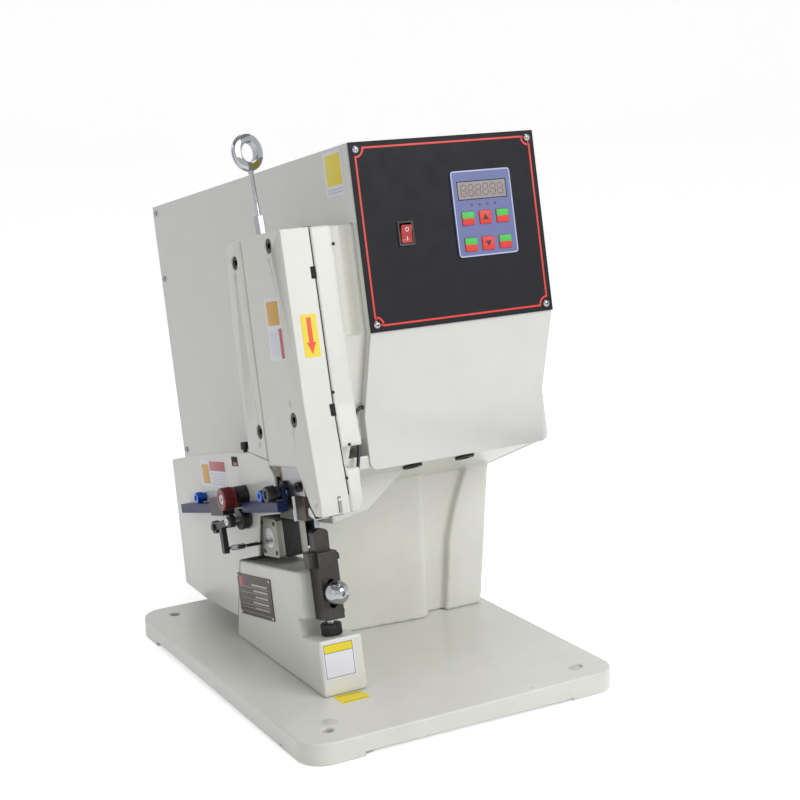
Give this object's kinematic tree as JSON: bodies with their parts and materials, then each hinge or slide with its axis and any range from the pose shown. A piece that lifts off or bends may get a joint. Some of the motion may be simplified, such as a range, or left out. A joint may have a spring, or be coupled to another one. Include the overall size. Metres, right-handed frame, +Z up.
{
  "type": "crimping machine",
  "caption": "Bench press that crimps a copper tape round wires: leaning cast frame, ram with punch over an anvil, tape feed, control cabinet.",
  "frame": {"origin": "middle of the base plate's underside, on the bench, at the middle of its bolt pattern", "axes": "+Z up, -Y the front with the control panel, +X to the right seen from the front; the body leans back 10 degrees about X"},
  "size_m": [0.372, 0.7281, 0.5819],
  "materials": {
    "cast_paint": "smooth cream enamel over cast iron",
    "sheet_paint": "satin cream enamel on sheet steel",
    "steel": "machined steel",
    "bright_steel": "polished plated steel",
    "dark_steel": "blued steel",
    "black_plastic": "matt moulded plastic",
    "panel_face": "satin black film on sheet metal",
    "red_switch": "gloss moulded plastic",
    "module_face": "matt film over a plastic housing",
    "display_tint": "dark tinted window",
    "key_green": "matt moulded key",
    "key_red": "matt moulded key",
    "board": "circuit board lacquer",
    "motor_paint": "grey enamel",
    "black_rubber": "toothed rubber belt",
    "bronze": "oiled bronze",
    "blue_anodised": "blue anodised aluminium",
    "blue_knurled": "light blue anodised aluminium",
    "red_knob": "dark red anodised aluminium",
    "feed_motor_case": "black enamel laminations"
  },
  "bodies": {
    "machine": {"base_plate": "cast_paint", "frame_bolts": "dark_steel", "c_frame": "cast_paint", "head_side_plate": "cast_paint", "head_rear_plate": "cast_paint", "head_bolts": "dark_steel", "ram_gibs": "bronze", "cabinet_shell": "sheet_paint", "rear_panel": "sheet_paint", "rear_sockets": "black_plastic", "cabinet_screws": "bright_steel", "front_fascia": "sheet_paint", "control_panel": "panel_face", "panel_screws": "bright_steel", "switch_bezel": "black_plastic", "counter_module": "module_face", "display_window": "display_tint", "controller_board": "board", "drive_motor": "motor_paint", "drive_belt": "black_rubber", "crank_bearings": "bright_steel", "feed_cover": "sheet_paint", "feed_bracket": "steel", "feed_motor": "feed_motor_case", "feed_belt": "black_rubber", "guide_bar": "blue_anodised", "guide_clamp": "black_plastic", "pinch_spring": "bright_steel", "ring_coupling": "steel", "sensor_lead": "black_rubber", "grommets": "black_rubber"},
    "ram": {"ram": "steel", "ram_screws": "dark_steel", "punch_holder": "dark_steel", "crimp_punch": "steel"},
    "crank": {"crankshaft": "steel", "driven_pulley": "steel", "crank_roller": "bright_steel"},
    "motor_rotor": {"motor_pulley": "steel"},
    "anvil": {"anvil_holder": "dark_steel", "anvil_blade": "steel", "lock_screws": "dark_steel"},
    "height_knob_body": {"height_knob": "black_plastic"},
    "ball_knob_body": {"ball_knob": "bright_steel"},
    "rocker": {"rocker_switch": "red_switch"},
    "feed_roller": {"feed_shaft": "bright_steel", "feed_knob": "red_knob"},
    "feed_motor_rotor": {"feed_motor_pulley": "bright_steel"},
    "lever": {"pinch_lever": "dark_steel"},
    "pinch_roller": {"pinch_wheel": "dark_steel"},
    "rear_thumbscrew": {"guide_screw_rear": "blue_knurled"},
    "front_thumbscrew": {"guide_screw_front": "blue_knurled"},
    "stop_thumbscrew": {"stop_screw": "black_plastic"},
    "eye": {"guide_ring": "bright_steel"},
    "key_set_left_body": {"key_set_left": "key_green"},
    "key_up_body": {"key_up": "key_red"},
    "key_set_right_body": {"key_set_right": "key_green"},
    "key_clear_left_body": {"key_clear_left": "key_green"},
    "key_down_body": {"key_down": "key_red"},
    "key_clear_right_body": {"key_clear_right": "key_green"}
  },
  "joints": [
    {"name": "crank_turn", "type": "hinge", "parent": "machine", "child": "crank", "pos_m": [-0.03, -0.03789, 0.41285], "axis": [1, 0, 0], "range_deg": [0, 180]},
    {"name": "ram_stroke", "type": "slide", "parent": "machine", "child": "ram", "axis": [0, -0.1736, -0.9848], "range_m": [0, 0.012]},
    {"name": "motor_turn", "type": "hinge", "parent": "machine", "child": "motor_rotor", "pos_m": [0.024, 0.12103, 0.28329], "axis": [1, 0, 0], "range_deg": [0, 540]},
    {"name": "height_knob_turn", "type": "hinge", "parent": "machine", "child": "height_knob_body", "pos_m": [-0.087, -0.09901, 0.08346], "axis": [0, 0.1736, 0.9848], "range_deg": [-720, 0]},
    {"name": "anvil_lift", "type": "slide", "parent": "machine", "child": "anvil", "axis": [0, 0.1736, 0.9848], "range_m": [-0.0025, 0]},
    {"name": "ball_knob_turn", "type": "hinge", "parent": "machine", "child": "ball_knob_body", "pos_m": [-0.087, -0.11686, 0.12621], "axis": [0, 0.9848, -0.1736], "range_deg": [0, 360]},
    {"name": "rocker_tip", "type": "hinge", "parent": "machine", "child": "rocker", "pos_m": [0.0242, -0.08415, 0.47584], "axis": [1, 0, 0], "range_deg": [-18, 0]},
    {"name": "feed_roller_turn", "type": "hinge", "parent": "machine", "child": "feed_roller", "pos_m": [-0.12, 0.04229, 0.19664], "axis": [1, 0, 0], "continuous": true},
    {"name": "feed_motor_turn", "type": "hinge", "parent": "machine", "child": "feed_motor_rotor", "pos_m": [-0.07, -0.00524, 0.16034], "axis": [1, 0, 0], "continuous": true},
    {"name": "pinch_lever_swing", "type": "hinge", "parent": "machine", "child": "lever", "pos_m": [-0.134, 0.07999, 0.15596], "axis": [1, 0, 0], "range_deg": [0, 10], "stiffness_Nm_per_rad": 0.6, "springref_deg": -20.05, "deforming": ["pinch_spring"]},
    {"name": "pinch_wheel_turn", "type": "hinge", "parent": "lever", "child": "pinch_roller", "pos_m": [-0.12, 0.03674, 0.17299], "axis": [1, 0, 0], "continuous": true},
    {"name": "rear_thumbscrew_turn", "type": "hinge", "parent": "machine", "child": "rear_thumbscrew", "pos_m": [-0.122, 0.15912, 0.16924], "axis": [1, 0, 0], "range_deg": [0, 360]},
    {"name": "front_thumbscrew_turn", "type": "hinge", "parent": "machine", "child": "front_thumbscrew", "pos_m": [-0.122, -0.02197, 0.21171], "axis": [1, 0, 0], "range_deg": [0, 360]},
    {"name": "stop_screw_turn", "type": "hinge", "parent": "machine", "child": "stop_thumbscrew", "pos_m": [-0.124, -0.05454, 0.22172], "axis": [1, 0, 0], "range_deg": [0, 360]},
    {"name": "eye_swivel", "type": "hinge", "parent": "machine", "child": "eye", "pos_m": [-0.104, -0.01878, 0.48087], "axis": [-0.0523, 0.1734, 0.9835], "range_deg": [-90, 90]},
    {"name": "key_set_left_press", "type": "slide", "parent": "machine", "child": "key_set_left_body", "axis": [0, 0.9848, -0.1736], "range_m": [0, 0.0006], "stiffness_N_per_m": 400},
    {"name": "key_up_press", "type": "slide", "parent": "machine", "child": "key_up_body", "axis": [0, 0.9848, -0.1736], "range_m": [0, 0.0006], "stiffness_N_per_m": 400},
    {"name": "key_set_right_press", "type": "slide", "parent": "machine", "child": "key_set_right_body", "axis": [0, 0.9848, -0.1736], "range_m": [0, 0.0006], "stiffness_N_per_m": 400},
    {"name": "key_clear_left_press", "type": "slide", "parent": "machine", "child": "key_clear_left_body", "axis": [0, 0.9848, -0.1736], "range_m": [0, 0.0006], "stiffness_N_per_m": 400},
    {"name": "key_down_press", "type": "slide", "parent": "machine", "child": "key_down_body", "axis": [0, 0.9848, -0.1736], "range_m": [0, 0.0006], "stiffness_N_per_m": 400},
    {"name": "key_clear_right_press", "type": "slide", "parent": "machine", "child": "key_clear_right_body", "axis": [0, 0.9848, -0.1736], "range_m": [0, 0.0006], "stiffness_N_per_m": 400}
  ],
  "couplings": [
    {"joint": "ram_stroke", "follows": "crank_turn", "m_per_rad": 0.0038197},
    {"joint": "motor_turn", "follows": "crank_turn", "ratio": 3},
    {"joint": "height_knob_turn", "follows": "anvil_lift", "rad_per_m": 5026.5},
    {"joint": "feed_motor_turn", "follows": "feed_roller_turn", "ratio": 1.5},
    {"joint": "pinch_wheel_turn", "follows": "feed_roller_turn", "ratio": -1}
  ]
}
